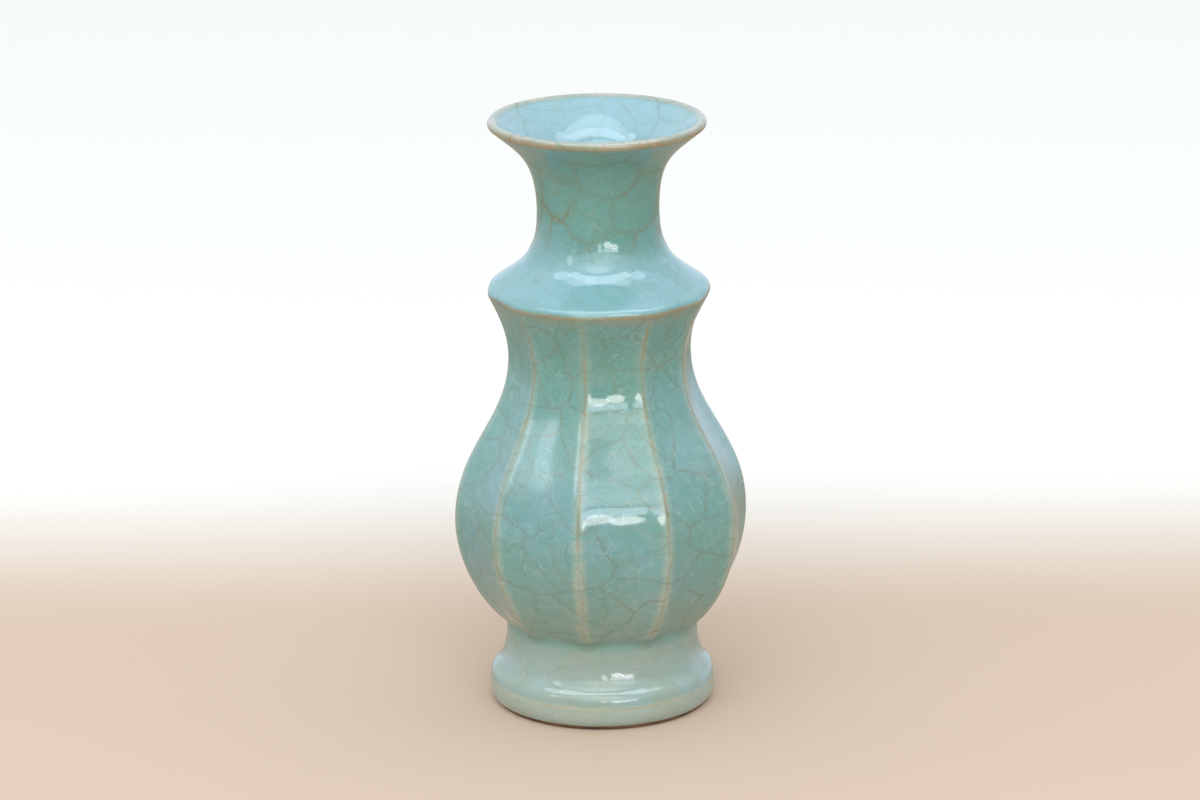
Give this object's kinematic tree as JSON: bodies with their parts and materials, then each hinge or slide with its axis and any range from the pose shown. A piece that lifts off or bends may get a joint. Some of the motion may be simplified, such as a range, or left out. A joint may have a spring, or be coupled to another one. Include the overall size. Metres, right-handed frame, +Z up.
{
  "type": "celadon vase",
  "caption": "Fluted baluster vase with a splayed foot, a sharp shoulder, a narrow neck and a trumpet mouth, in crackled celadon glaze; holds cut flowers or stands as an ornament.",
  "frame": {"origin": "centre of the foot's underside, on the surface that the vase stands on", "axes": "+Z up along the vase's axis; -Y through the middle of a flute; ridges lie on +X and -X"},
  "size_m": [0.1504, 0.143, 0.305],
  "materials": {
    "clay": "bare fired stoneware, iron brown",
    "slip": "fired joining slip, matt",
    "celadon": "glossy crackled celadon glaze"
  },
  "bodies": {
    "root": {"foot": "clay", "base_disc": "clay", "lower_body": "clay", "upper_body": "clay", "shoulder": "clay", "mouth": "clay", "foot_slip": "slip", "base_slip": "slip", "belly_slip": "slip", "shoulder_slip": "slip", "neck_slip": "slip", "outer_glaze": "celadon", "inner_glaze": "celadon"}
  },
  "joints": []
}
